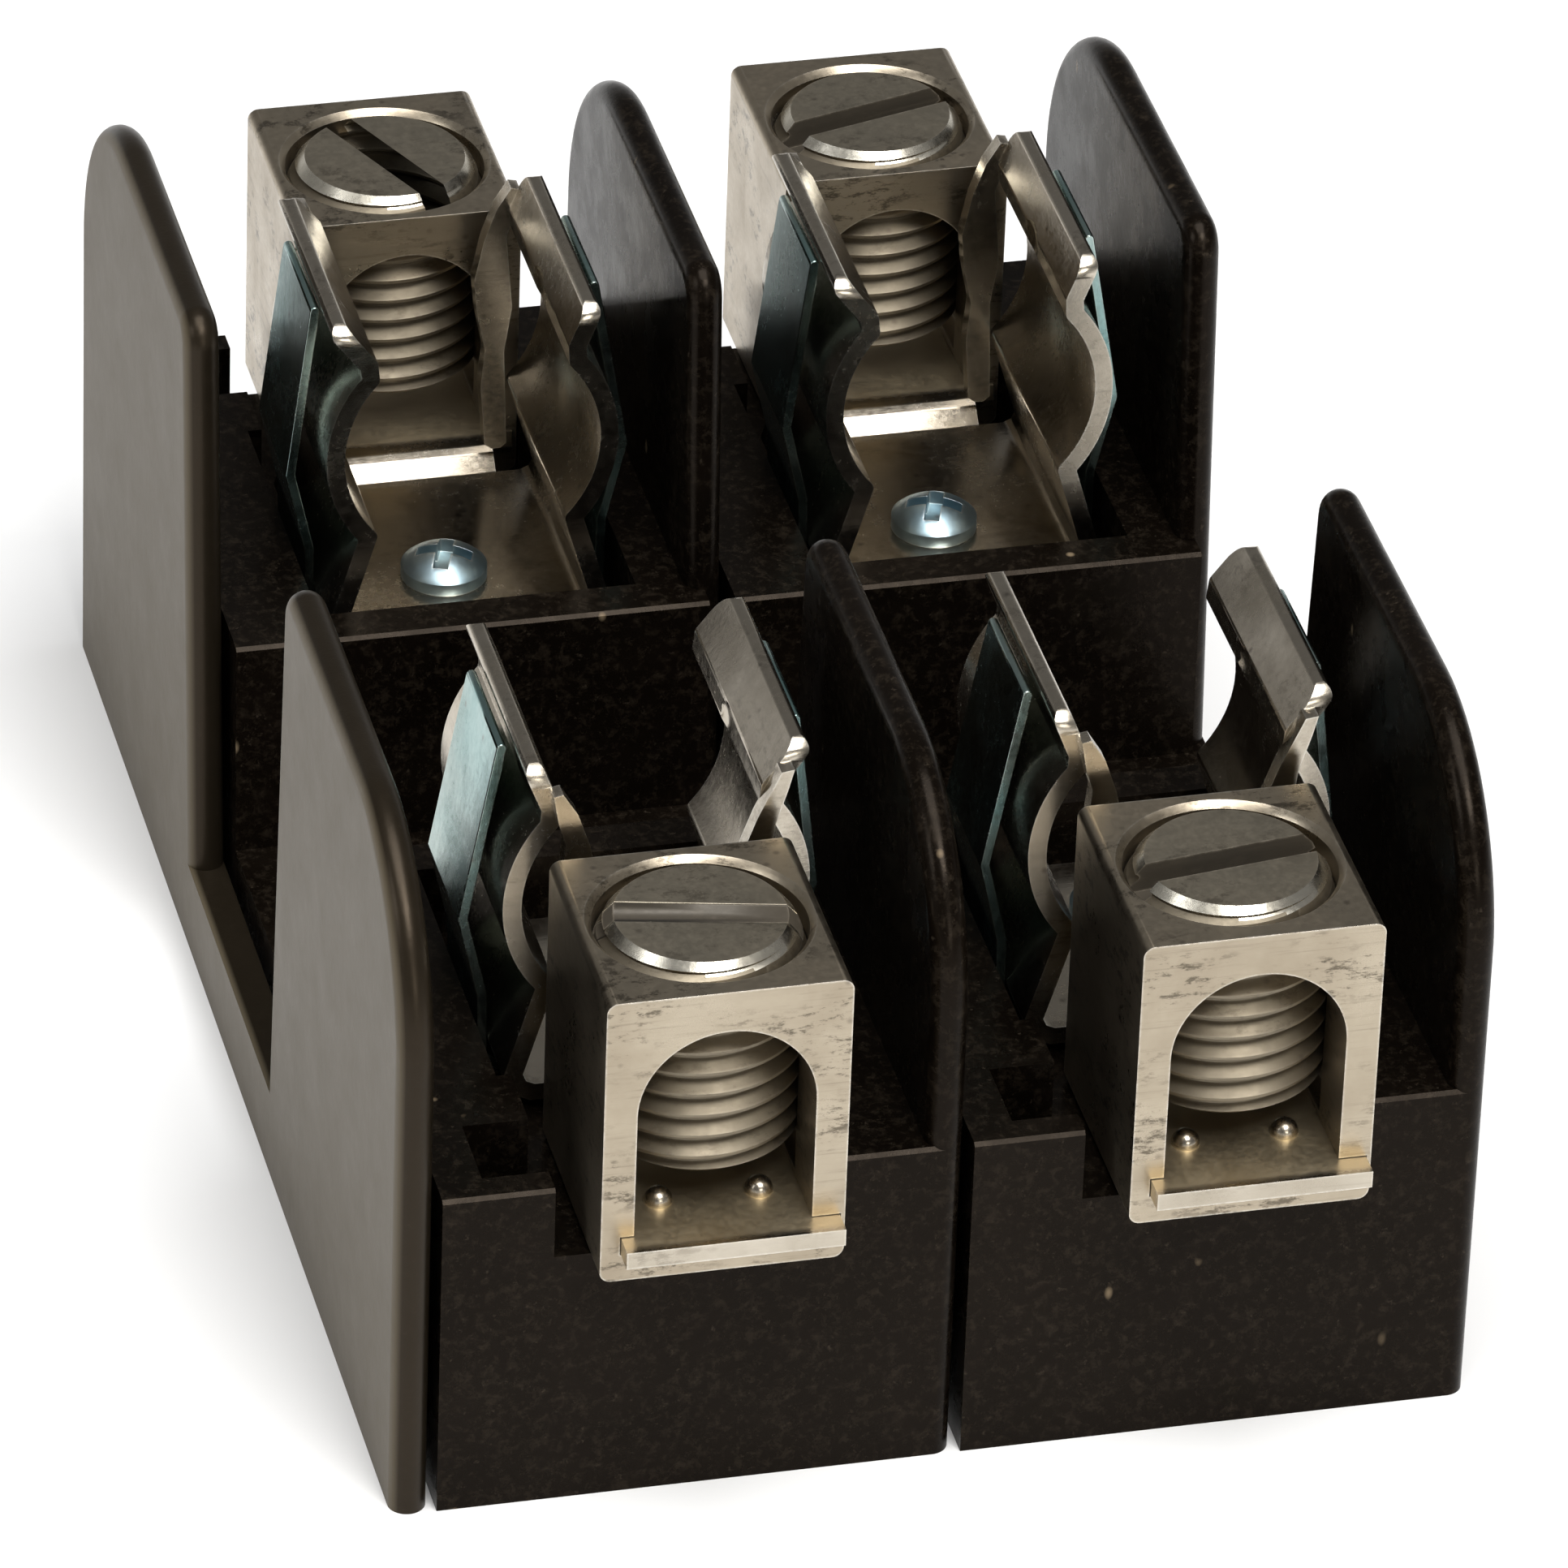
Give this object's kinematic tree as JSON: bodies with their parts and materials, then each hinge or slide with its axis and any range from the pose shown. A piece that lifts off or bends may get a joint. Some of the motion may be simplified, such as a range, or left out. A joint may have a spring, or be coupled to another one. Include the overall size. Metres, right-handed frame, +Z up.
{
  "type": "fuse block",
  "caption": "Open two-pole fuse block with barriers, spring fuse clips and box lugs with slotted set screws.",
  "frame": {"origin": "centre of the bounding box's bottom face, on the panel", "axes": "X across the poles to the right, Y along the fuses from the front end to the rear end, Z up from the panel"},
  "size_m": [0.0596, 0.0948, 0.0387],
  "materials": {
    "moulding": "satin",
    "end_barrier": "satin",
    "clip": "tin plated",
    "spring": "bright zinc",
    "pan_screw": "bright zinc",
    "lug": "tin plated, satin",
    "set_screw": "tin plated, satin"
  },
  "bodies": {
    "block": {"base_left": "moulding", "base_right": "moulding", "end_barrier": "end_barrier", "fuse_clip_front_left": "clip", "fuse_clip_front_right": "clip", "fuse_clip_rear_left": "clip", "fuse_clip_rear_right": "clip", "clip_spring_front_left": "spring", "clip_spring_front_right": "spring", "clip_spring_rear_left": "spring", "clip_spring_rear_right": "spring", "clip_screw_front_left": "pan_screw", "clip_screw_front_right": "pan_screw", "clip_screw_rear_left": "pan_screw", "clip_screw_rear_right": "pan_screw", "lug_front_left": "lug", "lug_front_right": "lug", "lug_rear_left": "lug", "lug_rear_right": "lug"},
    "set_screw_front_left": {"lug_screw_front_left": "set_screw"},
    "set_screw_front_right": {"lug_screw_front_right": "set_screw"},
    "set_screw_rear_left": {"lug_screw_rear_left": "set_screw"},
    "set_screw_rear_right": {"lug_screw_rear_right": "set_screw"}
  },
  "joints": [
    {"name": "lug_screw_front_left_travel", "type": "slide", "parent": "block", "child": "set_screw_front_left", "axis": [0, 0, 1], "range_m": [-0.0008, 0.008]},
    {"name": "lug_screw_front_right_travel", "type": "slide", "parent": "block", "child": "set_screw_front_right", "axis": [0, 0, 1], "range_m": [-0.0008, 0.008]},
    {"name": "lug_screw_rear_left_travel", "type": "slide", "parent": "block", "child": "set_screw_rear_left", "axis": [0, 0, 1], "range_m": [-0.0008, 0.008]},
    {"name": "lug_screw_rear_right_travel", "type": "slide", "parent": "block", "child": "set_screw_rear_right", "axis": [0, 0, 1], "range_m": [-0.0008, 0.008]}
  ]
}
